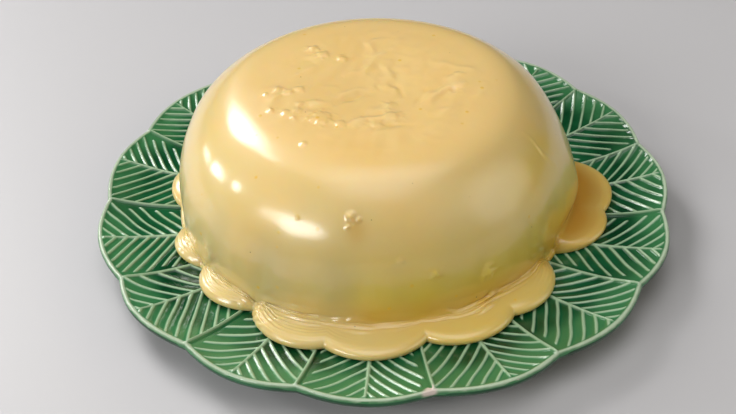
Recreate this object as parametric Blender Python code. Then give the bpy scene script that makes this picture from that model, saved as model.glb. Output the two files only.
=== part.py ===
"""Volcano cake: a tall round cake under a thick poured icing, on its glazed leaf plate.

Two solids. The plate is a shallow dish of overlapping leaves on a foot ring. The iced
cake is one mass: the coat of icing runs down the cake's side and lies round its foot as
a border of lobes, one for each run of icing that reached the plate.

Metres, Z up. The foot ring stands on Z = 0, and the origin is under the middle of the
plate's bounding box. A leaf points along +X.
"""
import math

import bmesh
import bpy

# Plate: a rim of leaf tips round a dished border and a flat well.
LEAVES = 15
RIM_RADIUS = 0.168          # plate's axis to the tip of a leaf
RIM_CREST = 0.0016          # the rim's highest line, in from its widest
NOTCH_DEPTH = 0.0045        # how far the rim draws in between two leaves
SCALLOP_START = 0.140       # inside this radius the plate is round
RIM_HEIGHT = 0.0212
RIM_THICKNESS = 0.0060
WELL_RADIUS = 0.089
WELL_HEIGHT = 0.0105        # table to the surface that the cake stands on
DISH_CURVE = 2.2            # how late the border turns up towards the rim
WALL = 0.0068
FOOT_RADIUS = 0.088         # middle of the foot ring
FOOT_WIDTH = 0.007
FOOT_HEIGHT = 0.0042        # outside the ring, where the underside starts to rise

# Leaves: raised midribs, and edges that lap over the next leaf.
RELIEF = 0.0011             # height of a midrib and of a leaf's edge
RELIEF_START = 0.100
RELIEF_END = 0.162
RELIEF_FADE = 0.008         # the relief dies out this far from the icing
RELIEF_CLEARANCE = 0.003
COLUMN_TURN = (-1.0, -0.9, -0.5, -0.09, 0.0, 0.09, 0.5, 0.9)   # across one leaf, edge to edge
LAP_ORDER = (1, -1, -1)     # which side's leaf lies on top, at each edge in turn

# Cake with its coat of icing, measured up from the well.
CAKE_X = -0.005             # the cake stands a little off the plate's axis
CAKE_Y = 0.0034
CAKE_RADIUS = 0.114
WAIST_RADIUS = 0.1136       # where the side meets the run-off
WIDEST_HEIGHT = 0.0117
DOME_HEIGHT = 0.0902        # what the rounded side would rise to
DOME_POWER = 2.56           # 2 is an ellipse, more is squarer
SETTLE_START = 0.074        # above this the icing has settled flat
SETTLE_DEPTH = 0.010
DIP_DEPTH = 0.0022          # the icing sinks over the ring tin's hole
DIP_RADIUS = 0.034
FLUTES = 16                 # the tin's flutes, nearly filled by the icing
FLUTE_DEPTH = 0.0007

# A late run of icing that slid down one side and stopped on top of the run-off.
SLIP_BEARING = 352.0        # degrees
SLIP_SPREAD = 24.0          # degrees to either side
SLIP_DEPTH = 0.0065
SLIP_TOP = 0.055            # it starts this far above the well

# Run-off: each lobe is a round puddle (bearing in degrees, distance out, radius).
LOBES = (
    (20.0, 0.097, 0.024),
    (47.0, 0.100, 0.028),
    (71.0, 0.101, 0.030),
    (94.0, 0.100, 0.027),
    (115.0, 0.102, 0.031),
    (138.0, 0.099, 0.028),
    (157.0, 0.099, 0.027),
    (173.0, 0.096, 0.027),
    (202.5, 0.1018, 0.0213),
    (224.1, 0.1011, 0.0265),
    (249.6, 0.1041, 0.0315),
    (267.8, 0.1041, 0.0348),
    (292.2, 0.1036, 0.0335),
    (309.7, 0.1011, 0.0316),
    (343.0, 0.1107, 0.0268),
    (355.5, 0.1077, 0.0323),
)
LOBE_THICKNESS = 0.0065
LOBE_ROUNDING = 0.012       # a narrower run-off than this is thinner too
LOBE_MINIMUM = 0.002        # run-off that shows even between lobes
LOBE_RISE = 0.0038          # the run-off is this much thicker where it meets the side
LOBE_RISE_WIDTH = 0.006     # and falls to its own thickness over about this width
GAP = 0.0003                # between the icing's underside and the glaze

AROUND = LEAVES * len(COLUMN_TURN)
DOME_ANGLES = (90, 85, 79, 72, 64, 56, 48, 40, 32, 24, 16, 8, 0)
UNDERSIDE_STEPS = (0.93, 0.86, 0.79, 0.66, 0.0)


def clamp(value):
    return min(max(value, 0.0), 1.0)


def leaf_bearing(column):
    """Bearing of a column of the plate's corners, and its turn from its leaf's midrib."""
    leaf, place_in_leaf = divmod(column, len(COLUMN_TURN))
    turn = COLUMN_TURN[place_in_leaf]
    return (2 * leaf + turn) * math.pi / LEAVES, turn


def notch(turn):
    """How far the rim draws in, at a turn of 0 on a leaf's tip and 1 between two leaves."""
    return NOTCH_DEPTH * (1.0 - math.cos(turn * math.pi / 2.0))


def plate_axis_x():
    """The odd number of leaves doesn't reach as far along -X, so the axis is off the origin."""
    reach = []
    for column in range(AROUND):
        bearing, turn = leaf_bearing(column)
        reach.append((RIM_RADIUS - notch(turn)) * math.cos(bearing))
    return -(max(reach) + min(reach)) / 2.0


def slip(bearing, height):
    """How far the late run of icing stands out from the side, at a height above the well."""
    turn = abs((math.degrees(bearing) - SLIP_BEARING + 180.0) % 360.0 - 180.0)
    across = clamp(1.0 - turn / SLIP_SPREAD)
    down = clamp(1.0 - height / SLIP_TOP)
    return SLIP_DEPTH * across ** 2 * (3.0 - 2.0 * across) * down ** 2 * (3.0 - 2.0 * down)


def waist_radius(bearing):
    return WAIST_RADIUS + slip(bearing, WIDEST_HEIGHT)


def lobe_reach(bearing):
    """Distance from the cake's axis to the edge of the run-off, in the given direction."""
    reach = waist_radius(bearing) + LOBE_MINIMUM
    for middle, distance, radius in LOBES:
        turn = bearing - math.radians(middle)
        sideways = distance * math.sin(turn)
        if math.cos(turn) > 0.0 and abs(sideways) < radius:
            chord = math.sqrt(radius ** 2 - sideways ** 2)
            reach = max(reach, distance * math.cos(turn) + chord)
    return reach


def dish_height(radius):
    """Height of the glazed surface, without its leaves, at a radius from the plate's axis."""
    rise = clamp((radius - WELL_RADIUS) / (RIM_RADIUS - RIM_CREST - WELL_RADIUS)) ** DISH_CURVE
    return WELL_HEIGHT + (RIM_HEIGHT - WELL_HEIGHT) * rise


def wrapped(name, rows, place, material):
    """A closed body: a sheet wrapped round its axis, with place(column, row) for each corner."""
    form = bmesh.new()
    bmesh.ops.create_grid(form, x_segments=AROUND, y_segments=rows - 1, size=0.5)
    for corner in form.verts:
        column = round((corner.co.x + 0.5) * AROUND)
        row = round((corner.co.y + 0.5) * (rows - 1))
        corner.co = place(column % AROUND, row)
    bmesh.ops.remove_doubles(form, verts=form.verts, dist=0.00001)
    bmesh.ops.recalc_face_normals(form, faces=form.faces)
    mesh = bpy.data.meshes.new(name)
    form.to_mesh(mesh)
    form.free()
    mesh.shade_smooth()
    mesh.materials.append(material)
    solid = bpy.data.objects.new(name, mesh)
    parts.objects.link(solid)
    return solid


def finish(name, colour, roughness):
    material = bpy.data.materials.new(name)
    material.use_nodes = True
    shader = material.node_tree.nodes["Principled BSDF"]
    shader.inputs["Base Color"].default_value = (*colour, 1.0)
    shader.inputs["Roughness"].default_value = roughness
    shader.inputs["Metallic"].default_value = 0.0
    return material


def plate_profile():
    """Radius and height from the middle of the well, over the rim and back under the foot."""
    top = [(0.0, WELL_HEIGHT), (0.6 * WELL_RADIUS, WELL_HEIGHT), (WELL_RADIUS, WELL_HEIGHT)]
    for radius in (0.098, 0.107, 0.116, 0.124, 0.132, 0.140, 0.148, 0.155):
        top.append((radius, dish_height(radius)))
    edge = [
        (RIM_RADIUS - 2.4 * RIM_CREST, RIM_HEIGHT - 0.0004),
        (RIM_RADIUS - RIM_CREST, RIM_HEIGHT),
        (RIM_RADIUS - 0.2 * RIM_CREST, RIM_HEIGHT - 0.2 * RIM_THICKNESS),
        (RIM_RADIUS, RIM_HEIGHT - 0.45 * RIM_THICKNESS),
        (RIM_RADIUS - 1.6 * RIM_CREST, RIM_HEIGHT - RIM_THICKNESS),
    ]
    below = []
    for radius in (0.146, 0.128, 0.110):
        below.append((radius, dish_height(radius) - WALL))
    outer = FOOT_RADIUS + FOOT_WIDTH / 2.0
    inner = FOOT_RADIUS - FOOT_WIDTH / 2.0
    recess = WELL_HEIGHT - WALL
    foot = [(outer + 0.001, FOOT_HEIGHT), (outer, 0.0), (inner, 0.0), (inner - 0.001, recess)]
    return top + edge + below + foot + [(0.0, recess)]


def leaf_ridge(column):
    """Height across a leaf: its midrib, and its edges where they lap over the next leaf."""
    leaf, place_in_leaf = divmod(column, len(COLUMN_TURN))
    turn = COLUMN_TURN[place_in_leaf]
    if turn == 0.0 or turn == -1.0:
        return 1.0
    if abs(turn) < 0.9:
        return 0.0
    shared_edge = leaf if turn < 0.0 else leaf + 1
    on_top = LAP_ORDER[shared_edge % len(LAP_ORDER)] * (1 if turn < 0.0 else -1)
    return 0.45 * on_top


def make_plate():
    profile = plate_profile()
    crest = profile.index((RIM_RADIUS - RIM_CREST, RIM_HEIGHT))

    def place(column, row):
        full_radius, height = profile[row]
        bearing, turn = leaf_bearing(column)
        scallop = clamp((full_radius - SCALLOP_START) / (RIM_RADIUS - SCALLOP_START))
        radius = full_radius - notch(turn) * scallop
        x = PLATE_X + radius * math.cos(bearing)
        y = radius * math.sin(bearing)
        if row < crest and RELIEF_START < full_radius < RELIEF_END:
            from_cake = math.hypot(x - PLATE_X - CAKE_X, y - CAKE_Y)
            icing_edge = lobe_reach(math.atan2(y - CAKE_Y, x - PLATE_X - CAKE_X))
            bare = clamp((from_cake - icing_edge - RELIEF_CLEARANCE) / RELIEF_FADE)
            height += RELIEF * bare * leaf_ridge(column)
        return x, y, height

    glaze = finish("green_glaze", (0.012, 0.13, 0.055), 0.2)
    return wrapped("plate", len(profile), place, glaze)


def cake_profile(bearing):
    """Radius from the cake's axis and height, from the top's middle down to the underside."""
    side = CAKE_RADIUS - FLUTE_DEPTH * (1.0 - abs(math.cos(FLUTES * bearing / 2.0)))
    profile = []
    for angle in DOME_ANGLES:
        turn = math.radians(angle)
        radius = side * max(math.cos(turn), 0.0) ** (2.0 / DOME_POWER)
        rise = (DOME_HEIGHT - WIDEST_HEIGHT) * math.sin(turn) ** (2.0 / DOME_POWER)
        height = WIDEST_HEIGHT + rise
        if height > SETTLE_START:
            above = height - SETTLE_START
            height = SETTLE_START + SETTLE_DEPTH * (1.0 - math.exp(-above / SETTLE_DEPTH))
        height -= DIP_DEPTH * math.exp(-(radius / DIP_RADIUS) ** 2)
        radius += slip(bearing, height)
        profile.append((radius if angle < 90 else 0.0, WELL_HEIGHT + height))

    waist = waist_radius(bearing)
    reach = lobe_reach(bearing)
    width = reach - waist
    fullness = clamp(width / LOBE_ROUNDING) ** 0.6
    thickness = LOBE_THICKNESS * fullness
    bead = min(thickness, 0.6 * width)
    for out, share in ((0.0, 0.9), (0.3 * (width - bead), 0.95), (width - bead, 1.0),
                       (width - 0.3 * bead, 0.75), (width, 0.4)):
        radius = waist + out
        rise = LOBE_RISE * fullness * math.exp(-out / LOBE_RISE_WIDTH) * clamp(1.0 - out / width)
        height = GAP + thickness * share + rise + glaze_under(bearing, radius)
        profile.append((radius, height))

    underside = [reach - 0.2 * bead]
    underside += [step * reach for step in UNDERSIDE_STEPS]
    for radius in underside:
        profile.append((radius, GAP + glaze_under(bearing, radius)))
    return profile


def glaze_under(bearing, radius):
    """Height of the plate under a point given from the cake's axis."""
    x = CAKE_X + radius * math.cos(bearing)
    y = CAKE_Y + radius * math.sin(bearing)
    return dish_height(math.hypot(x, y))


def make_iced_cake():
    bearings = [2.0 * math.pi * column / AROUND for column in range(AROUND)]
    profiles = [cake_profile(bearing) for bearing in bearings]

    def place(column, row):
        radius, height = profiles[column][row]
        x = PLATE_X + CAKE_X + radius * math.cos(bearings[column])
        y = CAKE_Y + radius * math.sin(bearings[column])
        return x, y, height

    icing = finish("custard_icing", (0.82, 0.60, 0.24), 0.25)
    return wrapped("iced_cake", len(profiles[0]), place, icing)


for leftover in list(bpy.data.objects):
    bpy.data.objects.remove(leftover, do_unlink=True)
parts = bpy.data.collections.new("volcano_cake")
bpy.context.scene.collection.children.link(parts)
PLATE_X = plate_axis_x()
make_plate()
make_iced_cake()
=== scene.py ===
import math

import bmesh
import bpy
import numpy as np
from mathutils import Matrix, Quaternion, Vector, noise


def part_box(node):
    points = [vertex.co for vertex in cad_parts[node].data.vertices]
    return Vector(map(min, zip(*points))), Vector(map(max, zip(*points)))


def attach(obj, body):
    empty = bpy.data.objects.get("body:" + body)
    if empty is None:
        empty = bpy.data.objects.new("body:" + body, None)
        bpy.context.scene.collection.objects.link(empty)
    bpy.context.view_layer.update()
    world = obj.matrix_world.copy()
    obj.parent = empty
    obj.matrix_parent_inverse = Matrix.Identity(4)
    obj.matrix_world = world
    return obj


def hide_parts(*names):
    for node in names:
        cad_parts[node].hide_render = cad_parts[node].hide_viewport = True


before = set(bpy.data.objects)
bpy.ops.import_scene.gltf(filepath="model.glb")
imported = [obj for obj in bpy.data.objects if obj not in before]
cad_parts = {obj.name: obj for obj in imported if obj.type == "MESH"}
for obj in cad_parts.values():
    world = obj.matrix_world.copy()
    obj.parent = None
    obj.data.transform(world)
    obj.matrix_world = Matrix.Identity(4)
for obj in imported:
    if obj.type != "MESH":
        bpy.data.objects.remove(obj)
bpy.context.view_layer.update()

MM = 0.001
plate_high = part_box("plate")[1]
cake_low, cake_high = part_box("iced_cake")


# ---------------------------------------------------------------------------
# Table top: a plain pale slab for the foot ring to stand on. It isn't part of
# the cake.
TABLE_SIZE = 6.0
STONE_GREY = (0.50, 0.495, 0.51, 1.0)

slab = bmesh.new()
bmesh.ops.create_grid(slab, x_segments=1, y_segments=1, size=TABLE_SIZE / 2)
table_mesh = bpy.data.meshes.new("table_top")
slab.to_mesh(table_mesh)
slab.free()
table_top = bpy.data.objects.new("table_top", table_mesh)
bpy.context.scene.collection.objects.link(table_top)
stone = bpy.data.materials.new("pale_stone")
stone.use_nodes = True
stone_shader = stone.node_tree.nodes["Principled BSDF"]
stone_shader.inputs["Base Color"].default_value = STONE_GREY
stone_shader.inputs["Roughness"].default_value = 0.45
table_mesh.materials.append(stone)


# ---------------------------------------------------------------------------
# Camera: what someone standing at the table sees. It looks along +Y and down at
# the cake, and leans over a little to the left.
PLATE_HALF_WIDTH = 168.0 * MM
PLATE_X = plate_high[0] - PLATE_HALF_WIDTH      # where the plate's axis is, with y at 0
LOOK_AT = Vector((PLATE_X - 9.4 * MM, -19.4 * MM, plate_high[2]))
LOOK_DOWN = math.radians(39.12)
LOOK_TILT = math.radians(-2.17)
LOOK_DISTANCE = 655.1 * MM
LENS, SENSOR_WIDTH = 55.3, 36.0

backward = Vector((0.0, -math.cos(LOOK_DOWN), math.sin(LOOK_DOWN)))
level_right = Vector((1.0, 0.0, 0.0))
level_up = backward.cross(level_right)
right = level_right * math.cos(LOOK_TILT) + level_up * math.sin(LOOK_TILT)
up = level_up * math.cos(LOOK_TILT) - level_right * math.sin(LOOK_TILT)
camera = bpy.data.objects.new("camera", bpy.data.cameras.new("camera"))
camera.data.lens = LENS
camera.data.sensor_width = SENSOR_WIDTH
camera.matrix_world = Matrix.Translation(LOOK_AT + backward * LOOK_DISTANCE) @ Matrix(
    (right, up, backward)).transposed().to_4x4()
bpy.context.scene.collection.objects.link(camera)
bpy.context.scene.camera = camera


# ---------------------------------------------------------------------------
# Light: a pale room, with windows along its left side from the back to the front, and
# pale walls and a ceiling that light the rest softly. The glaze and the icing mirror them.
SHOULDER_HEIGHT = 60 * MM
CAKE_MIDDLE = Vector((
    (cake_low[0] + cake_high[0]) / 2, (cake_low[1] + cake_high[1]) / 2, SHOULDER_HEIGHT))
PANE_SHARES = (1.25, 1.0, 0.75)
PANE_GAP = 0.03
DAYLIGHT = (1.0, 0.988, 0.97)
WALL_PAINT = (1.0, 0.94, 0.80)
ROOM_COLOUR, ROOM_GLOW = (0.93, 0.95, 1.0, 1.0), 0.04


def window(name, bearing, rise, distance, width, height, brightness, lean=0, colour=DAYLIGHT):
    """A glowing pane that faces the cake, from a bearing (0 is +X) and a height in degrees.

    Its distance, width and height are in metres, and its lean is in degrees. It is three panes,
    each smaller and a little nearer than the last, so that it fades towards its edge.
    """
    turn, lift = math.radians(bearing), math.radians(rise)
    out = Vector((math.cos(turn) * math.cos(lift), math.sin(turn) * math.cos(lift), math.sin(lift)))
    for layer, share in enumerate(PANE_SHARES):
        pane = bpy.data.lights.new(f"{name}_{layer}", "AREA")
        pane.shape = "ELLIPSE"
        pane.size, pane.size_y = width * share, height * share
        area = math.pi / 4 * pane.size * pane.size_y
        pane.energy = brightness / len(PANE_SHARES) * math.pi * area
        pane.color = colour
        lamp = bpy.data.objects.new(pane.name, pane)
        lamp.location = CAKE_MIDDLE + out * (distance - PANE_GAP * layer)
        roll = Quaternion((0.0, 0.0, 1.0), math.radians(lean))
        lamp.rotation_euler = (out.to_track_quat("Z", "Y") @ roll).to_euler()
        bpy.context.scene.collection.objects.link(lamp)


window("window_back_left", 131, 37, 2.2, 0.80, 0.88, 14.0, -20)
window("pane_back_left", 143, 51, 2.3, 0.40, 0.32, 6.0)
window("window_left", 163, 16, 2.2, 0.26, 0.30, 22.0, 20)
window("pane_left", 151, 9, 2.3, 0.46, 0.20, 8.0, 27)
window("window_far_left", 178, 26, 2.2, 0.25, 0.24, 23.0)
window("window_front_left", 221, 28, 2.2, 1.20, 0.58, 12.4)
window("wall_left", 205, 42, 2.8, 3.2, 1.6, 0.3)
window("wall_left_low", 182, 5, 2.8, 1.5, 0.6, 0.5)
window("wall_back_left", 148, 48, 2.8, 1.8, 1.4, 0.3)
window("wall_right", 350, 22, 2.8, 2.0, 2.2, 1.58, colour=WALL_PAINT)
window("wall_front_right", 326, 42, 2.8, 2.2, 1.6, 0.5, colour=WALL_PAINT)
window("ceiling", 0, 89, 2.8, 2.3, 2.3, 2.05)
window("ceiling_front", 270, 62, 2.8, 2.2, 1.6, 0.38)

room = bpy.data.worlds.new("room")
room.use_nodes = True
room.node_tree.nodes["Background"].inputs["Color"].default_value = ROOM_COLOUR
room.node_tree.nodes["Background"].inputs["Strength"].default_value = ROOM_GLOW
bpy.context.scene.world = room
bpy.context.scene.view_settings.view_transform = "Standard"


# ---------------------------------------------------------------------------
# Plate: earthenware pressed in a carved mould, so that its border is fifteen
# leaves that lap over each other, then dipped in a clear green glaze. The glaze
# runs off the ribs and the rim, where the pale clay shows through.
LEAVES = 15
LEAF_TURN = 360.0 / LEAVES
RIM_RADIUS = 167.7 * MM
RIM_CREST = 1.6 * MM        # the rim's highest line lies this far in from its widest
NOTCH_DEPTH = 4.6 * MM
SCALLOP_START = 140.0 * MM
RIM_HEIGHT = plate_high[2]
WELL_RADIUS = 89.0 * MM
WELL_HEIGHT = RIM_HEIGHT - 10.7 * MM
DISH_CURVE = 2.2
WALL = 6.8 * MM
FOOT_RADIUS = 88.0 * MM
FOOT_WIDTH = 7.0 * MM
FOOT_HEIGHT = 4.2 * MM
CARVING_START = 98.0 * MM   # the icing hides the border from here inwards

# The mould was carved by hand, so each rib and each edge is this many degrees off
# its even place.
RIB_SHIFT = (1.1, 0.6, 0.2, 0.1, 0.1, 0.0, -0.1, -1.1, 0.9, 0.2, 1.1, 1.0, 2.3, 1.7, 0.7)
EDGE_SHIFT = (-0.2, 0.3, 0.2, 0.1, 0.0, -0.1, -0.2, 1.0, 2.2, 1.8, 0.9, 0.6, 0.7, 1.5, 0.5)
LAP_ORDER = (-1, -1, 1)     # which leaf lies on top, at each edge in turn

RIB_HEIGHT, RIB_WIDTH = 1.0 * MM, 2.1 * MM
VEIN_HEIGHT, VEIN_WIDTH = 0.75 * MM, 1.75 * MM
VEIN_PITCH = 7.7 * MM
VEIN_SLOPE = 0.98           # how far a vein runs outward as it leaves its rib
VEIN_BEND = 5.5             # and how soon it turns towards the leaf's edge, per metre
VEIN_STOP = 3.0 * MM        # how short it stops of a leaf that lies on top
CROWDED_LEAVES, CROWDING = slice(5, 9), 0.85    # where the veins lie closer together
VEIN_WANDER = 0.9 * MM
EDGE_HEIGHT, EDGE_WIDTH = 1.0 * MM, 1.9 * MM
LAP_LIFT, LAP_SHADOW = 0.6 * MM, 0.7 * MM
RELIEF_MARGIN = 3.2 * MM    # the carving stops this far from the rim
# Spots on the rim that the glaze missed: bearing in degrees, width in mm, and how far
# down the rim they go in mm.
BARE_SPOTS = (
    (276.0, 6.4, 4.6), (281.5, 2.0, 2.0), (291.0, 1.6, 2.0), (96.0, 2.4, 2.2), (171.0, 1.8, 2.0),
)

PLATE_COLUMNS = 2100
PLATE_TRIANGLES = 195000


def fade(value, start, end):
    """0 before start and 1 after end, smooth in between."""
    share = np.clip((value - start) / (end - start), 0.0, 1.0)
    return share * share * (3.0 - 2.0 * share)


def bump(distance, width):
    """A round ridge: 1 on its crest, and nearly 0 at its width from it."""
    return np.exp(-((2.0 * distance / width) ** 2))


def dish_height(radius):
    out = (radius - WELL_RADIUS) / (RIM_RADIUS - RIM_CREST - WELL_RADIUS)
    return WELL_HEIGHT + (RIM_HEIGHT - WELL_HEIGHT) * np.clip(out, 0.0, 1.0) ** DISH_CURVE


def cloud(x, y, z, size):
    """A smooth random value, about -1 to 1, whose lumps are about this size."""
    return np.array([noise.noise((a, b, c)) for a, b, c in zip(x / size, y / size, z / size)])


rib_bearing = np.radians(LEAF_TURN * np.arange(LEAVES) + np.array(RIB_SHIFT))
edge_bearing = np.radians(LEAF_TURN * np.arange(LEAVES) + LEAF_TURN / 2 + np.array(EDGE_SHIFT))
draw = np.random.default_rng(3)
vein_start = draw.uniform(0.0, 1.0, (LEAVES, 2))
vein_pitch = VEIN_PITCH * draw.uniform(0.92, 1.10, (LEAVES, 2))
vein_pitch[CROWDED_LEAVES] *= CROWDING
vein_slope = VEIN_SLOPE * draw.uniform(0.86, 1.12, (LEAVES, 2))


def leaf_of(bearing):
    """Which leaf a bearing lies in, and its turns from that leaf's rib, lower and upper edge."""
    turned = (bearing - edge_bearing[-1]) % (2 * math.pi)
    starts = (edge_bearing - edge_bearing[-1]) % (2 * math.pi)
    starts[-1] = 0.0
    order = np.argsort(starts)
    leaf = order[np.searchsorted(starts[order], turned, side="right") - 1]
    leaf = (leaf + 1) % LEAVES
    from_rib = (bearing - rib_bearing[leaf] + math.pi) % (2 * math.pi) - math.pi
    from_low = (bearing - edge_bearing[leaf - 1]) % (2 * math.pi)
    from_high = (edge_bearing[leaf] - bearing) % (2 * math.pi)
    return leaf, from_rib, from_low, from_high


def rim_radius(bearing):
    leaf, from_rib, from_low, from_high = leaf_of(bearing)
    to_edge = np.where(from_rib < 0.0, from_low, from_high)
    turn = np.abs(from_rib) / (np.abs(from_rib) + to_edge + 1e-9)
    return RIM_RADIUS - NOTCH_DEPTH * (1.0 - np.cos(turn * math.pi / 2.0))


def leaf_relief(x, y):
    """At points of the border: the carving's height, its bareness of glaze, the way to the rim."""
    radius = np.hypot(x, y)
    bearing = np.arctan2(y, x)
    leaf, from_rib, from_low, from_high = leaf_of(bearing)
    to_rim = rim_radius(bearing) - radius
    low_on_top = np.array(LAP_ORDER)[(leaf - 1) % 3] > 0
    high_on_top = np.array(LAP_ORDER)[leaf % 3] < 0
    wander = VEIN_WANDER * cloud(x, y, 0 * x, 16 * MM)

    along = radius * np.cos(from_rib)
    across = np.abs(radius * np.sin(from_rib) + 0.35 * wander)
    rib_width = RIB_WIDTH * (0.65 + 0.5 * fade(to_rim, 0.0, 45 * MM))
    rib = bump(across, rib_width) * fade(to_rim, 1.6 * MM, 5.0 * MM)

    upper = from_rib > 0.0
    half = upper.astype(int)
    nearest = np.where(upper, from_high, from_low) * radius
    this_on_top = np.where(upper, high_on_top, low_on_top)
    slope, pitch = vein_slope[leaf, half], vein_pitch[leaf, half]
    vein_place = along - slope * across + VEIN_BEND * across ** 2 + wander
    start = vein_start[leaf, half] * pitch
    vein_number = np.round((vein_place - start) / pitch)
    off_vein = vein_place - start - vein_number * pitch
    slant = np.sqrt(1.0 + (slope - 2.0 * VEIN_BEND * across) ** 2)
    ragged = 1.4 * MM * np.sin(2.4 * vein_number + 5.0 * leaf)
    stop = np.where(this_on_top, 0.3 * MM, VEIN_STOP + ragged)
    vein = bump(off_vein / slant, VEIN_WIDTH) * fade(nearest, stop - 0.3 * MM, stop + 1.2 * MM)
    vein *= fade(to_rim, RELIEF_MARGIN - 1.0 * MM, RELIEF_MARGIN + 0.8 * MM)

    edge_line = bump(nearest - 0.6 * MM, EDGE_WIDTH) * this_on_top
    edge_line *= fade(to_rim, 1.0 * MM, 2.6 * MM)
    swell = LAP_LIFT * np.exp(-nearest / (5 * MM)) * this_on_top
    sunk = -LAP_SHADOW * np.exp(-nearest / (1.6 * MM)) * ~this_on_top
    belly = 0.8 * MM * np.sin(np.pi * np.clip(across / (across + nearest), 0, 1))

    ridges = np.maximum.reduce([RIB_HEIGHT * rib, VEIN_HEIGHT * vein, EDGE_HEIGHT * edge_line])
    inside = fade(to_rim, 1.6 * MM, 5.0 * MM)
    height = ridges + (swell + sunk - belly) * inside
    bare = np.maximum.reduce([rib, vein, edge_line])
    return height * fade(radius, CARVING_START, CARVING_START + 6 * MM), bare, to_rim


def wrapped(name, across, down):
    """A closed skin from a grid: the sheet's two sides meet, and its first and last rows close up.

    across holds x and y of each corner, down its height, as [column, row] tables.
    """
    columns, rows = down.shape
    form = bmesh.new()
    bmesh.ops.create_grid(form, x_segments=columns, y_segments=rows - 1, size=0.5)
    mesh = bpy.data.meshes.new(name)
    form.to_mesh(mesh)
    corners = np.empty(len(mesh.vertices) * 3, np.float32)
    mesh.vertices.foreach_get("co", corners)
    corners = corners.reshape(-1, 3)
    column = np.rint((corners[:, 0] + 0.5) * columns).astype(int) % columns
    row = np.rint((corners[:, 1] + 0.5) * (rows - 1)).astype(int)
    places = np.stack([table[column, row] for table in (*across, down)], axis=1)
    mesh.vertices.foreach_set("co", places.astype(np.float32).ravel())
    form.clear()
    form.from_mesh(mesh)
    bmesh.ops.remove_doubles(form, verts=form.verts, dist=0.00002)
    bmesh.ops.recalc_face_normals(form, faces=form.faces)
    form.to_mesh(mesh)
    form.free()
    piece = bpy.data.objects.new(name, mesh)
    bpy.context.scene.collection.objects.link(piece)
    return piece


def thinned(piece, triangles):
    """Collapses the flat stretches of a fine mesh, down to a number of triangles."""
    count = sum(len(face.vertices) - 2 for face in piece.data.polygons)
    thin = piece.modifiers.new("thin", "DECIMATE")
    thin.ratio = min(1.0, triangles / count)
    seen = piece.evaluated_get(bpy.context.evaluated_depsgraph_get())
    mesh = bpy.data.meshes.new_from_object(seen)
    piece.modifiers.clear()
    fine = piece.data
    piece.data = mesh
    bpy.data.meshes.remove(fine)
    mesh.name = piece.name
    mesh.shade_smooth()


def corner_places(piece):
    places = np.empty(len(piece.data.vertices) * 3, np.float32)
    piece.data.vertices.foreach_get("co", places)
    return places.reshape(-1, 3).astype(float).T


def keep_values(piece, name, values):
    """Stores a number for each corner, for the material to read by name."""
    store = piece.data.attributes.new(name, "FLOAT", "POINT")
    store.data.foreach_set("value", values.astype(np.float32))


def plate_profile():
    """Radius and height from the middle of the well, over the rim and back under the foot."""
    top = [radius * MM for radius in (0, 40, 80, 92)]
    top += list(np.arange(CARVING_START, RIM_RADIUS - RIM_CREST - 0.2 * MM, 0.42 * MM))
    outline = [(radius, float(dish_height(radius))) for radius in top]
    top_rows = len(outline)
    edge = ((-1.6, 0.0), (-1.1, 0.08), (-0.6, 0.45), (-0.2, 1.2), (0.0, 2.1), (0.0, 3.0),
            (-0.4, 4.2), (-1.2, 5.3), (-2.6, 6.0))
    outline += [(RIM_RADIUS + out * MM, RIM_HEIGHT - down * MM) for out, down in edge]
    for radius in (156, 146, 134, 120, 106, 98):
        outline.append((radius * MM, float(dish_height(radius * MM)) - WALL))
    outer = FOOT_RADIUS + FOOT_WIDTH / 2
    inner = FOOT_RADIUS - FOOT_WIDTH / 2
    recess = WELL_HEIGHT - WALL
    outline += [(outer + 1.0 * MM, FOOT_HEIGHT), (outer + 0.3 * MM, 2.5 * MM), (outer, 0.6 * MM),
                (outer - 0.6 * MM, 0.0), (inner + 0.6 * MM, 0.0), (inner, 0.6 * MM),
                (inner - 1.0 * MM, recess), (40 * MM, recess), (0.0, recess)]
    return np.array(outline).T, top_rows


(outline_radius, outline_height), top_rows = plate_profile()
bearing = 2 * math.pi * np.arange(PLATE_COLUMNS)[:, None] / PLATE_COLUMNS
scallop = np.clip((outline_radius - SCALLOP_START) / (RIM_RADIUS - SCALLOP_START), 0.0, 1.0)
radius = outline_radius - (RIM_RADIUS - rim_radius(bearing)) * scallop
plate_x, plate_y = radius * np.cos(bearing), radius * np.sin(bearing)
plate_z = np.repeat(outline_height[None, :], PLATE_COLUMNS, axis=0)
carved = (slice(None), slice(4, top_rows))
height, bare, to_rim = leaf_relief(plate_x[carved].ravel(), plate_y[carved].ravel())
plate_z[carved] += height.reshape(plate_z[carved].shape)
plate = wrapped("leaf_plate", (plate_x + PLATE_X, plate_y), plate_z)
thinned(plate, PLATE_TRIANGLES)

x, y, z = corner_places(plate)
height, bare, to_rim = leaf_relief(x - PLATE_X, y)
upward = z > dish_height(np.hypot(x - PLATE_X, y)) - 1.5 * MM
# Painted light and shade: the bare veins are painted paler at the front and darker at the back.
front_to_back_shade = 1.12 - 0.34 * fade(y, -90 * MM, 120 * MM)
keep_values(plate, "bare_clay_and_shade", bare * upward * front_to_back_shade)
keep_values(plate, "rim_line", bump(to_rim - 1.5 * MM, 3.0 * MM) * (z > RIM_HEIGHT - 1.2 * MM))
missed = np.zeros(len(x))
for way, wide, low in BARE_SPOTS:
    turn = (np.degrees(np.arctan2(y, x - PLATE_X)) - way + 180.0) % 360.0 - 180.0
    gap = np.hypot(np.radians(turn) * RIM_RADIUS, to_rim - 0.8 * MM)
    gap *= 1.0 + 0.5 * cloud(x, y, z, 1.6 * MM)
    missed = np.maximum(missed, 1.6 * bump(gap, wide * MM) * fade(z, RIM_HEIGHT - low * MM, RIM_HEIGHT))
keep_values(plate, "missed", missed)
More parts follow.
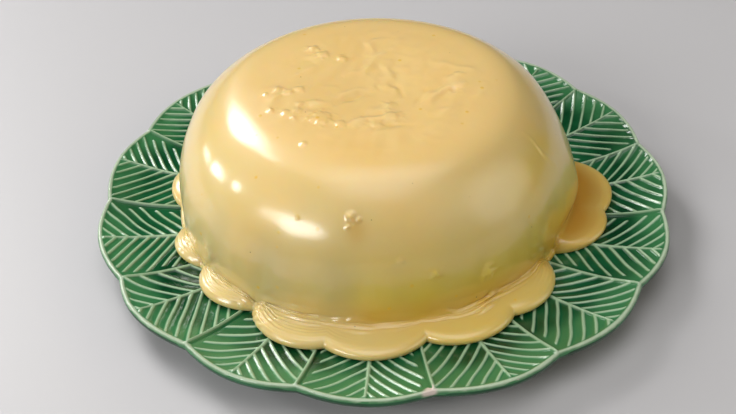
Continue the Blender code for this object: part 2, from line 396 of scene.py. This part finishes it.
# It is thinner, and so paler, towards the rim; at the front it is painted paler still, a painted light.
front_painted_light = 1.0 + 0.4 * fade(-y, 50 * MM, 140 * MM)
keep_values(plate, "border", fade(to_rim, 45 * MM, 2 * MM) * upward * front_painted_light)


# The places of a Mix node's two colours among its inputs, and of its colour output.
MIX_FIRST, MIX_SECOND, MIX_COLOUR = 6, 7, 2


class Wire:
    """A socket of a material that is being made. Sums and products of wires add Math nodes."""

    def __init__(self, tree, socket=None):
        self.tree = tree
        self.socket = socket

    def node(self, kind, settings, inputs, output=0):
        """Adds a node. Its settings are set first, then the values or wires of its inputs."""
        made = self.tree.nodes.new(kind)
        for name, value in settings.items():
            setattr(made, name, value)
        for name, value in inputs.items():
            if isinstance(value, Wire):
                self.tree.links.new(value.socket, made.inputs[name])
            else:
                made.inputs[name].default_value = value
        return Wire(self.tree, made.outputs[output])

    def math(self, operation, *others):
        inputs = {place: value for place, value in enumerate((self, *others))}
        return self.node("ShaderNodeMath", {"operation": operation}, inputs)

    def __add__(self, other):
        return self.math("ADD", other)

    def __sub__(self, other):
        return self.math("SUBTRACT", other)

    def __rsub__(self, other):
        return self.math("MULTIPLY", -1.0).math("ADD", other)

    def __mul__(self, other):
        return self.math("MULTIPLY", other)

    __radd__, __rmul__ = __add__, __mul__

    def clamp(self, low, high):
        """How far this value is on the way from low to high, kept between 0 and 1."""
        return self.node("ShaderNodeMapRange", {"interpolation_type": "SMOOTHSTEP"},
                         {"Value": self, "From Min": low, "From Max": high})

    def between(self, first, second):
        """A colour this far from the first one to the second."""
        return self.node("ShaderNodeMix", {"data_type": "RGBA"},
                         {"Factor": self, MIX_FIRST: first, MIX_SECOND: second}, MIX_COLOUR)

    def value(self, name):
        """A number that keep_values stored on the corners."""
        return self.node("ShaderNodeAttribute", {"attribute_name": name}, {}, "Fac")


def material_for(piece, name):
    """A new material on a piece: its shader node, and a wire to start from."""
    material = bpy.data.materials.new(name)
    material.use_nodes = True
    piece.data.materials.clear()
    piece.data.materials.append(material)
    return material.node_tree.nodes["Principled BSDF"], Wire(material.node_tree)


DEEP_GLAZE = (0.0010, 0.043, 0.012, 1.0)
MID_GLAZE = (0.010, 0.120, 0.042, 1.0)
RIM_GLAZE = (0.045, 0.190, 0.070, 1.0)
PALE_CLAY = (0.35, 0.51, 0.325, 1.0)
RIM_CLAY = (0.42, 0.53, 0.38, 1.0)
RAW_CLAY = (0.62, 0.53, 0.47, 1.0)

shader, start = material_for(plate, "green_glaze")
where = start.node("ShaderNodeTexCoord", {}, {}, "Object")
patches = start.node("ShaderNodeTexNoise", {}, {"Vector": where, "Scale": 28.0, "Detail": 4.0})
mottle = start.node("ShaderNodeTexNoise", {}, {"Vector": where, "Scale": 160.0, "Detail": 6.0})
glaze = patches.clamp(0.35, 0.70).between(DEEP_GLAZE, MID_GLAZE)
# The border's paler glaze includes the painted light at the front.
glaze = (start.value("border") * (0.45 + patches)).clamp(0.45, 1.10).between(glaze, RIM_GLAZE)
# The bare veins carry the painted light and shade from the front to the back.
thinness = (start.value("bare_clay_and_shade") + 0.30 * (mottle - 0.5)).clamp(0.14, 0.95)
coloured = (thinness * 0.94).between(glaze, PALE_CLAY)
rim_thinness = (start.value("rim_line") + 0.45 * (mottle - 0.5)).clamp(0.35, 0.95)
coloured = rim_thinness.between(coloured, RIM_CLAY)
coloured = start.value("missed").clamp(0.25, 0.9).between(coloured, RAW_CLAY)
start.tree.links.new(coloured.socket, shader.inputs["Base Color"])
waves = start.node("ShaderNodeBump", {}, {"Strength": 0.12, "Distance": 0.002, "Height": mottle})
start.tree.links.new(waves.socket, shader.inputs["Normal"])
shader.inputs["Roughness"].default_value = 0.13
shader.inputs["IOR"].default_value = 1.5

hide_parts("plate")
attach(plate, "root")


# ---------------------------------------------------------------------------
# Cake and icing: a tall ring-tin cake with a thick cooked custard icing poured
# over it until it is hidden. The icing has settled and wrinkled on top, hangs
# thick down the side, and lies round the foot in lobes that set as they ran.
CAKE_X, CAKE_Y = -5.0 * MM, 3.4 * MM        # its axis, from the plate's axis
CAKE_RADIUS = 114.0 * MM
WAIST_RADIUS = 113.6 * MM
WIDEST_HEIGHT = 11.7 * MM
DOME_HEIGHT = 89.4 * MM
DOME_POWER = 2.56
SETTLE_START, SETTLE_DEPTH = 73.3 * MM, 9.0 * MM
DIP_DEPTH, DIP_RADIUS = 2.2 * MM, 34.0 * MM

# The icing slid down one side late, and stopped on top of what had run off before.
SLIP_BEARING, SLIP_SPREAD = 352.0, 24.0
SLIP_DEPTH, SLIP_TOP = 6.5 * MM, 55.0 * MM
SLIP_OVERHANG = 3.5 * MM

# Where it ran to on the plate: each lobe is a round puddle (bearing in degrees,
# distance out from the cake's axis in mm, radius in mm).
LOBES = (
    (20.0, 97.0, 24.0), (47.0, 100.0, 28.0), (71.0, 101.0, 30.0), (94.0, 100.0, 27.0),
    (115.0, 102.0, 31.0), (138.0, 99.0, 28.0), (157.0, 99.0, 27.0), (173.0, 96.0, 27.0),
    (202.5, 101.8, 21.3), (224.1, 100.4, 26.5), (249.6, 103.4, 31.5), (267.8, 104.1, 34.8),
    (292.2, 103.6, 33.5), (309.7, 101.1, 31.6), (343.0, 110.7, 26.8), (355.5, 107.7, 32.3),
)
LOBE_MINIMUM = 2.0 * MM
LOBE_THICKNESS = 6.5 * MM
LOBE_ROUNDING = 12.0 * MM
LOBE_RISE, LOBE_RISE_WIDTH = 3.8 * MM, 6.0 * MM
BEAD_TURN = math.radians(128)
FOOT_BULGE, FOOT_BULGE_TOP = 2.2 * MM, 42.0 * MM

CAKE_COLUMNS = 1024
SIDE_ROWS, LOBE_ROWS = 270, 84
SWELL_SOFTENING, FOOT_SOFTENING = 120, 36   # rounds of smoothing
FLAT_SHARE = 0.64           # of a lobe's rows, before its rounded edge
UNDERSIDE = (0.985, 0.95, 0.88, 0.80, 0.70, 0.5, 0.0)
SEAT = 0.2 * MM             # the icing's underside lies this far above the plain glaze
TOP_ROUNDING = 0.6 * MM     # the highest folds are rounded off within this of the cake's top
CAKE_TRIANGLES = 195000


def slip(bearing, height):
    """How far the late run of icing stands out from the side, at a height above the well."""
    turn = np.abs((np.degrees(bearing) - SLIP_BEARING + 180.0) % 360.0 - 180.0)
    return SLIP_DEPTH * fade(turn, SLIP_SPREAD, 0.0) * fade(height, SLIP_TOP, 0.0)


def lobe_reach(bearing):
    """Distance from the cake's axis to the edge of the icing on the plate."""
    reach = WAIST_RADIUS + LOBE_MINIMUM + slip(bearing, WIDEST_HEIGHT)
    for middle, distance, radius in LOBES:
        turn = bearing - math.radians(middle)
        sideways = distance * MM * np.sin(turn)
        chord = np.sqrt(np.maximum((radius * MM) ** 2 - sideways ** 2, 0.0))
        hit = (np.abs(sideways) < radius * MM) & (np.cos(turn) > 0.0)
        reach = np.where(hit, np.maximum(reach, distance * MM * np.cos(turn) + chord), reach)
    return reach


def plate_under(radius, bearing):
    """Height of the glaze under a point given from the cake's axis."""
    return dish_height(np.hypot(radius * np.cos(bearing) + CAKE_X, radius * np.sin(bearing) + CAKE_Y))


def side_profile():
    """Radius and height of the coat from the top's middle to its foot, evenly spaced."""
    turn = np.radians(90.0 - 90.0 * np.linspace(0, 1, 4000) ** 1.5)
    radius = CAKE_RADIUS * np.maximum(np.cos(turn), 0.0) ** (2 / DOME_POWER)
    height = WIDEST_HEIGHT + (DOME_HEIGHT - WIDEST_HEIGHT) * np.sin(turn) ** (2 / DOME_POWER)
    radius[0] = 0.0
    above = np.maximum(height - SETTLE_START, 0.0)
    settled = SETTLE_START + SETTLE_DEPTH * (1 - np.exp(-above / SETTLE_DEPTH))
    height = np.where(above > 0, settled, height)
    height = height - DIP_DEPTH * np.exp(-(radius / DIP_RADIUS) ** 2)
    run = np.concatenate([[0.0], np.cumsum(np.hypot(np.diff(radius), np.diff(height)))])
    even = np.linspace(0.0, run[-1], SIDE_ROWS)
    return np.interp(even, run, radius), np.interp(even, run, height)


def outward(radius, height):
    """Unit normals of each column's outline, as radius and height tables."""
    slope_r, slope_z = np.gradient(radius, axis=1), np.gradient(height, axis=1)
    length = np.hypot(slope_r, slope_z) + 1e-9
    return -slope_z / length, slope_r / length


side_radius, side_height = side_profile()
bearing = 2 * math.pi * np.arange(CAKE_COLUMNS)[:, None] / CAKE_COLUMNS
reach = lobe_reach(bearing)
waist = WAIST_RADIUS + np.maximum(slip(bearing, WIDEST_HEIGHT) - SLIP_OVERHANG, 0.0)
width = reach - waist
fullness = np.clip(width / LOBE_ROUNDING, 0, 1) ** 0.6
thickness = LOBE_THICKNESS * fullness
bead = np.minimum(thickness, 0.6 * width)

# The side, which swells over each lobe and draws in between them.
radius = side_radius + slip(bearing, side_height)
soft = fullness
for _ in range(SWELL_SOFTENING):
    soft = (np.roll(soft, 1, axis=0) + 2.0 * soft + np.roll(soft, -1, axis=0)) / 4.0
radius = radius + FOOT_BULGE * (soft - 0.75) * fade(side_height, FOOT_BULGE_TOP, 8 * MM)
height = np.repeat(WELL_HEIGHT + side_height[None, :], CAKE_COLUMNS, axis=0)

# The run-off, falling from the foot of the side to its rounded edge.
row = (np.arange(LOBE_ROWS) + 1.0) / LOBE_ROWS
flat = np.clip(row / FLAT_SHARE, 0, 1)[None, :]
turn = np.clip((row - FLAT_SHARE) / (1 - FLAT_SHARE), 0, 1)[None, :] * BEAD_TURN
run_radius = waist + (width - bead) * flat + bead * np.sin(turn)
out = run_radius - waist
rise = LOBE_RISE * fullness * np.exp(-out / LOBE_RISE_WIDTH) * np.clip(1 - out / width, 0, 1)
run_height = thickness * np.where(turn > 0, 0.42 + 0.58 * np.cos(turn), 0.9 + 0.1 * flat) + rise
run_height = run_height + plate_under(run_radius, bearing)
radius = np.concatenate([radius, run_radius], axis=1)
height = np.concatenate([height, run_height], axis=1)

# The icing is soft, so the foot of the side runs into the lobes in a hollow curve.
across_foot = bump(np.arange(radius.shape[1]) - SIDE_ROWS + 2.0, 26.0)[None, :]
for _ in range(FOOT_SOFTENING):
    for table in (radius, height):
        middle = (table[:, :-2] + table[:, 2:]) / 2 - table[:, 1:-1]
        table[:, 1:-1] += 0.9 * across_foot[:, 1:-1] * middle


def spot(bearing, radius):
    """x and y, in metres, of a place on the cake given in degrees and mm from its axis."""
    return radius * MM * math.cos(math.radians(bearing)), radius * MM * math.sin(math.radians(bearing))


# Folds in the skin on top: x and y where one starts and the way it heads in degrees,
# its length in mm, how far it curls in all, its width and its height in mm.
TOP_FOLDS = (
    (2, 52, -92, 24, -8, 3.0, 1.0), (11, 26, -98, 20, 10, 3.0, 1.0), (20, 50, 240, 34, -18, 4.0, 0.7),
    (4, 4, -8, 34, -150, 2.6, -0.6), (5, 0, -10, 24, -140, 3.4, 0.7), (-26, -15, 38, 34, -25, 3.0, 1.0),
    (-22, -18, 30, 24, -10, 2.2, -0.6), (28, -22, 60, 34, -35, 3.4, 1.2),
    (22, -24, 70, 26, -30, 2.2, -0.7), (64, 13, 188, 38, 110, 4.8, 1.2),
    (52, -18, 30, 24, 60, 3.0, 0.8), (28, -32, 10, 22, 30, 2.8, 0.9), (-14, -38, 10, 30, 20, 3.4, 1.3),
    (-2, -44, 25, 26, -40, 2.2, -0.9), (-6, -24, -20, 22, 70, 2.6, 0.8),
    (-42, -18, 12, 22, -15, 2.6, 1.2), (-56, -12, 60, 22, -60, 2.4, 0.8),
    (-50, -28, 20, 20, -30, 2.4, 0.9),
    (-40, 36, -28, 26, -20, 3.6, 0.5), (-46, 8, 50, 26, -30, 3.4, 0.7), (34, 26, -50, 30, 40, 3.6, 0.7),
    (-16, 10, 20, 24, 30, 3.2, 0.7), (-30, -48, 15, 30, 20, 4.0, 0.6), (20, -52, 20, 30, 15, 4.5, 0.6),
)
# Lumps and half-burst bubbles: bearing in degrees, mm from the axis, width and height in mm.
LUMPS = (
    (182, 52, 4.6, 1.25), (186, 46, 3.8, 1.05), (183, 40, 4.6, 1.25), (201, 59, 3.4, 0.95),
    (207, 53, 4.0, 1.1), (210, 47, 3.6, 1.0), (204, 43, 3.2, 0.85), (228, 42, 8.5, 2.3),
    (245, 41, 4.8, 1.25), (129, 53, 5.4, 1.4), (129, 43, 5.4, 1.45), (120, 33, 4.8, 1.3),
    (235, 64, 3.0, 0.8), (185, 59, 2.6, 0.75), (215, 52, 2.8, 0.8), (262, 96, 4.2, 1.9),
    (264.5, 97, 3.0, 1.2), (261.5, 99.5, 2.6, 0.9), (285, 112, 4.6, 1.2), (300, 113.5, 6.5, 1.5),
    (246, 99, 2.0, 0.5), (260, 37, 7.0, 1.0), (272, 39, 6.0, 1.0), (288, 33, 8.0, 1.2),
    (293, 22, 6.0, 0.8), (350, 46, 5.0, -0.8), (8, 50, 4.0, 0.8), (276, 109, 3.6, 0.6),
)
# Where a thin second run of icing ended on the shoulder.
SHOULDER_FOLD = (80, -37, -34, 22, 60, 1.4, 0.5)
RANDOM_FOLDS = 12
FOLD_STEPS = 40
FOLD_SWAY = 2.4             # mm that a fold wanders off its curve
SKIN_RADIUS = 66.0          # mm from the axis to where the skin pulled smooth
LONG_WAVE, FLUTE_DEPTH, SKIN_DEPTH = 0.8 * MM, 1.2 * MM, 0.50 * MM
ROPE_DEPTH, ROPE_PITCH, RING_PITCH = 1.2 * MM, 2.2 * MM, 2.4 * MM
SETTLED, LUMPS_SETTLED = 0.66, 0.88     # the share of their height that folds and lumps kept
# Where the icing piled up in ropes on the run-off: bearing and spread in degrees, strength,
# and how far out they go, as a share of the way to the lobe's edge.
ROPES = (
    (196, 7, 0.8, 1.1), (206, 6, 0.7, 1.1), (216, 7, 1.1, 0.8), (226, 7, 1.1, 0.7),
    (237, 6, 1.6, 1.5), (246, 8, 1.3, 0.6), (256, 6, 1.0, 0.35), (264, 3, 1.3, 0.45),
    (276, 9, 0.45, 0.22), (290, 7, 0.9, 0.35), (299, 4, 1.5, 0.55), (306, 5, 0.8, 0.35),
    (318, 8, 0.9, 0.5), (326, 4, 0.9, 0.6), (40, 10, 0.8, 0.5), (90, 14, 0.9, 0.6), (140, 12, 1.0, 0.6),
)
# Where it crept out in steps, which left rings: bearing and spread in degrees, and strength.
RINGS = (
    (201, 8, 0.35), (214, 7, 0.6), (226, 9, 0.5), (240, 6, 1.0), (252, 8, 0.15), (318, 8, 0.14),
    (60, 20, 0.3), (120, 30, 0.3),
)

draw = np.random.default_rng(11)
folds = list(TOP_FOLDS)
for _ in range(RANDOM_FOLDS):
    away, way = 0.8 * SKIN_RADIUS * math.sqrt(draw.uniform(0, 1)), draw.uniform(0, 2 * math.pi)
    folds.append((away * math.cos(way), away * math.sin(way), draw.uniform(0, 360),
                  draw.uniform(8, 22), draw.uniform(-120, 120), draw.uniform(1.8, 3.2),
                  draw.choice((-0.3, 0.3, 0.45))))


def fold_height(x, y, fold):
    """Height of one fold at points on top: a crest with a shallow trough along its right side."""
    start_x, start_y, heading, length, curl, wide, high = fold
    steps = np.linspace(0.0, 1.0, FOLD_STEPS)
    way = np.radians(heading + curl * steps)
    path_x = start_x + np.concatenate([[0], np.cumsum(np.cos(way[:-1]))]) * length / (FOLD_STEPS - 1)
    path_y = start_y + np.concatenate([[0], np.cumsum(np.sin(way[:-1]))]) * length / (FOLD_STEPS - 1)
    reach_x = (x / MM > path_x.min() - 3 * wide) & (x / MM < path_x.max() + 3 * wide)
    reach_y = (y / MM > path_y.min() - 3 * wide) & (y / MM < path_y.max() + 3 * wide)
    near = np.flatnonzero(reach_x & reach_y)
    flat = np.zeros(len(near))
    sway_x = FOLD_SWAY * cloud(x[near], y[near], flat, 8 * MM)
    sway_y = FOLD_SWAY * cloud(x[near], y[near], flat + 1.0, 8 * MM)
    off_x = (x[near] / MM + sway_x)[:, None] - path_x
    off_y = (y[near] / MM + sway_y)[:, None] - path_y
    gap = np.hypot(off_x, off_y)
    nearest = gap.argmin(axis=1)
    own = np.arange(len(near))
    side = off_y[own, nearest] * np.cos(way[nearest]) - off_x[own, nearest] * np.sin(way[nearest])
    taper = np.sin(np.pi * steps[nearest]) ** 0.8
    crest = np.exp(-(gap[own, nearest] / wide) ** 2)
    trough = np.exp(-((gap[own, nearest] - 1.6 * wide) / wide) ** 2) * (0.5 - 0.5 * np.tanh(side / wide))
    height = np.zeros(len(x))
    strength = 0.8 + 0.7 * cloud(x[near], y[near], flat + 2.0, 7 * MM)
    height[near] = high * MM * taper * strength * (crest - 0.3 * trough)
    return SETTLED * height


table_x, table_y = radius * np.cos(bearing), radius * np.sin(bearing)
x, y, z = table_x.ravel(), table_y.ravel(), height.ravel()
x_way, y_way = np.repeat(np.cos(bearing), radius.shape[1]), np.repeat(np.sin(bearing), radius.shape[1])

# How far the icing stands out from that plain form: in long waves, and in a shoulder that
# is fuller round the back.
swell = LONG_WAVE * cloud(x, y, z, 70 * MM)
turn = np.degrees(np.arctan2(y_way, x_way))
shoulder = 1.3 * fade(y_way, -0.2, 0.5) + bump((turn + 30) % 360 - 180, 40) + 0.5 * bump(turn - 32, 44)
shoulder *= fade(radius.ravel(), 60 * MM, 86 * MM) * fade(z, WELL_HEIGHT + 38 * MM, WELL_HEIGHT + 62 * MM)
swell += shoulder * MM

# Flutes where it ran down the side, the finer ones only low down.
steep = fade(radius.ravel(), 82 * MM, 108 * MM) * fade(z, WELL_HEIGHT + 12 * MM, WELL_HEIGHT + 24 * MM)
flutes = cloud(x_way * 5.2, y_way * 5.2, z / (150 * MM), 1.0)
low_on_side = fade(z, WELL_HEIGHT + 56 * MM, WELL_HEIGHT + 28 * MM)
flutes += 0.45 * low_on_side * cloud(x_way * 12.0, y_way * 12.0, z / (120 * MM) + 5.0, 1.0)
swell += FLUTE_DEPTH * steep * flutes * (0.35 + 0.65 * low_on_side)

# The wrinkled skin on top.
skin = fade(radius.ravel(), SKIN_RADIUS * MM * 1.15, SKIN_RADIUS * MM * 0.72)
on_skin = np.flatnonzero((skin > 0) & (z > cake_high[2] - 22 * MM))
skin_x, skin_y = x[on_skin], y[on_skin]
bend_x = skin_x + 9 * MM * cloud(skin_x, skin_y, z[on_skin], 30 * MM)
bend_y = skin_y + 9 * MM * cloud(skin_y, skin_x, z[on_skin], 30 * MM)
along, across = 0.5 * bend_x + 0.87 * bend_y, 0.87 * bend_x - 0.5 * bend_y
patchy = fade(cloud(skin_x, skin_y, 0 * skin_x + 0.5, 30 * MM), -0.35, 0.35)
strokes = cloud(along / 3.2, across, 0 * across, 6.5 * MM)
swell[on_skin] += SKIN_DEPTH * skin[on_skin] * strokes * (0.35 + 0.65 * patchy)
wrinkles = np.exp(-(3.2 * cloud(bend_x, bend_y, 0 * bend_x, 15 * MM)) ** 2)
swell[on_skin] += 0.35 * SKIN_DEPTH * skin[on_skin] * wrinkles * patchy
for fold in folds:
    swell[on_skin] += fold_height(skin_x, skin_y, fold) * skin[on_skin]
swell += fold_height(x, y, SHOULDER_FOLD) * (z > WELL_HEIGHT + 30 * MM)

# Lumps, with an uneven outline.
uneven = 1.0 + 0.45 * cloud(x, y, z, 2.6 * MM)
for way, away, wide, high in LUMPS:
    lump_x, lump_y = spot(way, away)
    lump_z = np.interp(away * MM, side_radius, side_height) + WELL_HEIGHT
    gap = uneven * np.sqrt((x - lump_x) ** 2 + (y - lump_y) ** 2 + (z - lump_z) ** 2)
    domed = np.exp(-((gap / (0.5 * wide * MM)) ** 2))
    swell += LUMPS_SETTLED * high * MM * domed * (z > WELL_HEIGHT + 16 * MM)

# Ropes of icing lie on the lobes near the foot of the side, and crowd together between lobes.
rope_place = np.full(radius.shape, -0.16)
rope_place[:, SIDE_ROWS - 8:SIDE_ROWS] = np.linspace(-0.16, 0.0, 8)[None, :]
rope_place[:, SIDE_ROWS:] = (row / FLAT_SHARE)[None, :]
rope_strength = np.zeros(CAKE_COLUMNS)
rope_end = np.zeros(CAKE_COLUMNS)
for middle, spread, strength, end in ROPES:
    share = np.exp(-(((np.degrees(bearing[:, 0]) - middle + 180) % 360 - 180) / spread) ** 2)
    rope_strength = np.maximum(rope_strength, strength * share)
    rope_end = np.maximum(rope_end, 0.3 + (end - 0.3) * share ** 0.4)
rope_end = np.maximum(rope_end[:, None], 0.35 + 0.75 * fade(width, 14 * MM, 5 * MM))
rope_shift = cloud(x, y, 0 * x, 26 * MM).reshape(radius.shape)
rope_shift += 0.35 * cloud(x, y, 0 * x + 7.0, 9 * MM).reshape(radius.shape)
rope_size = fade(cloud(x, y, 0 * x + 3.0, 9 * MM), -0.5, 0.4).reshape(radius.shape)
rope_count = 2.0 * rope_place + 0.5 * (radius - waist) / ROPE_PITCH + 0.9 * rope_shift
ropes = np.abs(np.cos(math.pi * rope_count)) ** 0.9 * (0.35 + 0.65 * rope_size)
ropes *= fade(rope_place, rope_end + 0.16, rope_end - 0.12) * fade(rope_place, -0.15, 0.06)
ropes *= rope_strength[:, None] * fade(width, 1 * MM, 6 * MM)

# The thinner rings follow the lobe's own edge.
ring_strength = np.zeros(CAKE_COLUMNS)
for middle, spread, strength in RINGS:
    share = np.exp(-(((np.degrees(bearing[:, 0]) - middle + 180) % 360 - 180) / spread) ** 2)
    ring_strength = np.maximum(ring_strength, strength * share)
from_edge = reach - radius
rings = np.abs(np.cos(math.pi * (from_edge / RING_PITCH + 0.5 * rope_shift))) ** 0.9
rings *= fade(from_edge, 0.8 * MM, 2.6 * MM) * fade(from_edge, 17 * MM, 9 * MM) * (rope_place > 0.05)
ropes = np.maximum(ropes, rings * ring_strength[:, None])
swell = swell.reshape(radius.shape) + ROPE_DEPTH * ropes
swell[:, -6:] *= np.linspace(0.8, 0.0, 6)[None, :]

normal_r, normal_z = outward(radius, height)
radius = radius + normal_r * swell
height = height + normal_z * swell
radius[:, 0] = 0.0
height[:, 0] = height[:, 0].mean()

# Near the middle of the top, neighbouring columns share corners, so that no face is a sliver.
columns = np.arange(CAKE_COLUMNS)
column_bearing = np.repeat(bearing, radius.shape[1], axis=1)
for ring in range(SIDE_ROWS // 2):
    room_for = 2 * math.pi * max(side_radius[ring], 0.1 * MM) / (0.45 * MM)
    share = 2 ** max(0, math.ceil(math.log2(CAKE_COLUMNS / room_for)))
    chief = (columns + share // 2) // share * share % CAKE_COLUMNS
    radius[:, ring] = radius[chief, ring]
    height[:, ring] = height[chief, ring]
    column_bearing[:, ring] = column_bearing[chief, ring]

# The underside lies on the glaze.
under_radius = np.array(UNDERSIDE)[None, :] * (reach - 0.2 * bead)
radius = np.concatenate([radius, under_radius], axis=1)
column_bearing = np.concatenate([column_bearing, np.repeat(bearing, len(UNDERSIDE), axis=1)], axis=1)
height = np.concatenate([height, plate_under(under_radius, bearing) + SEAT], axis=1)

# The highest folds stay just under the cake's top.
over = np.maximum(height - cake_high[2] + TOP_ROUNDING, 0.0)
rounded = cake_high[2] - TOP_ROUNDING * np.exp(-over / TOP_ROUNDING)
height = np.where(over > 0, rounded, height)
cake_x = np.clip(radius * np.cos(column_bearing) + CAKE_X + PLATE_X, cake_low[0], cake_high[0])
cake_y = np.clip(radius * np.sin(column_bearing) + CAKE_Y, cake_low[1], cake_high[1])
cake = wrapped("iced_volcano_cake", (cake_x, cake_y), height)
thinned(cake, CAKE_TRIANGLES)

# Vertical bands of painted shade down the side, in its hollows: bearing and spread in degrees,
# and strength.
HOLLOWS = (
    (220, 5, 0.6), (240, 6, 1.0), (258, 6, 0.7), (275, 5, 0.2), (290, 6, 0.3), (60, 7, 0.5), (85, 6, 0.6),
    (110, 8, 0.5), (140, 6, 0.6), (170, 6, 0.4),
)

# What the icing's material reads at each corner: how far down the side it is, for the painted
# shade that colours the side darker than the top; how deep in the shade low on the side; and
# painted shade at the foot of the side and under the slipped icing, with a real orange smear.
# Then painted light on the folds' crests and painted shade in their troughs, and painted shade
# in the hollows of the side.
x, y, z = corner_places(cake)
x, y = x - PLATE_X - CAKE_X, y - CAKE_Y
away, way = np.hypot(x, y), np.arctan2(y, x)
above_well = z - WELL_HEIGHT
# Painted shade: the icing is coloured darker down the side than on top.
keep_values(cake, "down_side", fade(away, 60 * MM, 104 * MM))
# Painted shade at the foot of the side, on the front and right.
foot = 0.6 * np.exp(-np.abs(away - WAIST_RADIUS - 1.5 * MM) / (4 * MM))
foot *= fade(above_well, 26 * MM, 10 * MM) * fade(x, -60 * MM, 0.0)
on_lobes = fade(away, 114 * MM, 119 * MM)
low = fade(above_well, 58 * MM, 20 * MM) * fade(x, -60 * MM, 10 * MM)
low *= 1.0 - on_lobes + 0.4 * on_lobes * fade(x, -20 * MM, 50 * MM)
far_right = 0.55 * bump(x - 90 * MM, 44 * MM) * fade(away, 80 * MM, 100 * MM) * (1.0 - on_lobes)
far_right *= fade(cloud(x, y, z, 40 * MM), -0.3, 0.3)
keep_values(cake, "shaded", np.maximum(low, far_right))
turn = np.abs((np.degrees(way) - SLIP_BEARING + 180.0) % 360.0 - 180.0)
# Painted shade under the slipped icing, on the lobe beneath it.
puddle = fade(turn, 30, 20) * fade(away, 114 * MM, 117 * MM) * fade(above_well, 15 * MM, 10 * MM)
puddle *= fade(lobe_reach(way) - away, 2 * MM, 17 * MM) * 0.72 + 0.22
# A real orange smear on the front of the shoulder.
smear = np.exp(-(((x + 11 * MM) / (5 * MM)) ** 2 + ((z - 69 * MM) / (6 * MM)) ** 2)) * (y < 0)
keep_values(cake, "shade_and_smear", np.maximum.reduce([foot, puddle, 0.4 * smear]))
hollow = np.zeros(len(x))
for middle, spread, strength in HOLLOWS:
    turn = (np.degrees(way) - middle + 180.0) % 360.0 - 180.0
    hollow += strength * np.exp(-(turn / spread) ** 2)
# Painted light on the folds' crests, and painted shade in their troughs.
relief = sum(fold_height(x, y, fold) for fold in folds)
relief *= fade(z, cake_high[2] - 20 * MM, cake_high[2] - 14 * MM)
keep_values(cake, "crest", np.clip(relief / MM, 0.0, 1.0))
keep_values(cake, "trough", np.clip(-relief / MM, 0.0, 1.0))
keep_values(cake, "hollow", hollow * fade(above_well, 62 * MM, 36 * MM) * (1.0 - on_lobes))

ICING_TOP = (0.82, 0.575, 0.228, 1.0)
# The side's colour is the top's with painted shade, as the side gets less light.
ICING_SIDE_SHADED = (0.690, 0.530, 0.205, 1.0)
ICING_WARM = (0.80, 0.53, 0.17, 1.0)
ICING_LOW = (0.725, 0.53, 0.052, 1.0)
# The colour of the painted shade at the foot and under the slip, and of the orange smear.
ICING_SHADE_AND_SMEAR = (0.57, 0.285, 0.022, 1.0)
# The colour of the painted shade in the side's hollows.
ICING_HOLLOW_SHADE = (0.54, 0.435, 0.185, 1.0)
# The colour of the painted light on the crests.
PAINTED_CREST_LIGHT = (0.93, 0.70, 0.35, 1.0)
ZEST = (0.74, 0.46, 0.03, 1.0)
# The colour of the painted shade inside each pinhole.
PINHOLE_SHADE = (0.20, 0.13, 0.03, 1.0)

shader, start = material_for(cake, "custard_icing")
where = start.node("ShaderNodeTexCoord", {}, {}, "Object")
clouds = start.node("ShaderNodeTexNoise", {}, {"Vector": where, "Scale": 22.0, "Detail": 3.0})
grain = start.node("ShaderNodeTexNoise", {}, {"Vector": where, "Scale": 300.0, "Detail": 3.0})
zest = start.node("ShaderNodeTexVoronoi", {}, {"Vector": where, "Scale": 90.0}, "Distance")
zest_pick = start.node("ShaderNodeTexVoronoi", {}, {"Vector": where, "Scale": 90.0}, "Color")
zest_pick = zest_pick.node("ShaderNodeSeparateColor", {}, {"Color": zest_pick}, "Red")
holes = start.node("ShaderNodeTexVoronoi", {}, {"Vector": where, "Scale": 140.0}, "Distance")
hole_pick = start.node("ShaderNodeTexVoronoi", {}, {"Vector": where, "Scale": 140.0}, "Color")
hole_pick = hole_pick.node("ShaderNodeSeparateColor", {}, {"Color": hole_pick}, "Green")
icing = start.value("down_side").between(ICING_TOP, ICING_SIDE_SHADED)
icing = (clouds.clamp(0.45, 0.75) * 0.45).between(icing, ICING_WARM)
# Painted light on the crests of the folds, and painted shade in their troughs.
icing = (start.value("crest").clamp(0.1, 1.0) * 0.38).between(icing, PAINTED_CREST_LIGHT)
icing = (start.value("trough").clamp(0.05, 0.5) * 0.5).between(icing, ICING_WARM)
shade = start.value("shaded") * (0.55 + 0.6 * clouds)
icing = shade.between(icing, ICING_LOW)
# Painted shade at the foot and under the slip, and the real orange smear.
icing = start.value("shade_and_smear").between(icing, ICING_SHADE_AND_SMEAR)
# Painted shade in the hollows of the side.
icing = (start.value("hollow") * 0.8).between(icing, ICING_HOLLOW_SHADE)
specks = (1 - zest.clamp(0.05, 0.13)) * zest_pick.clamp(0.66, 0.70)
icing = (specks * 0.75).between(icing, ZEST)
# Pinholes: a painted shade inside each pit, which the bump also sinks.
pits = (1 - holes.clamp(0.03, 0.07)) * hole_pick.clamp(0.80, 0.83)
icing = (pits * 0.85).between(icing, PINHOLE_SHADE)
start.tree.links.new(icing.socket, shader.inputs["Base Color"])
surface = grain * 0.25 - pits * 1.2 + specks * 0.5
skin_bump = start.node("ShaderNodeBump", {}, {"Strength": 0.20, "Distance": 0.0006, "Height": surface})
start.tree.links.new(skin_bump.socket, shader.inputs["Normal"])
shader.inputs["Roughness"].default_value = 0.36
shader.inputs["IOR"].default_value = 1.45
shader.inputs["Coat Weight"].default_value = 1.0
shader.inputs["Coat Roughness"].default_value = 0.14
shader.inputs["Coat IOR"].default_value = 1.5
shader.inputs["Subsurface Weight"].default_value = 0.5
shader.inputs["Subsurface Radius"].default_value = (1.0, 0.60, 0.22)
shader.inputs["Subsurface Scale"].default_value = 0.005

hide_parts("iced_cake")
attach(cake, "root")
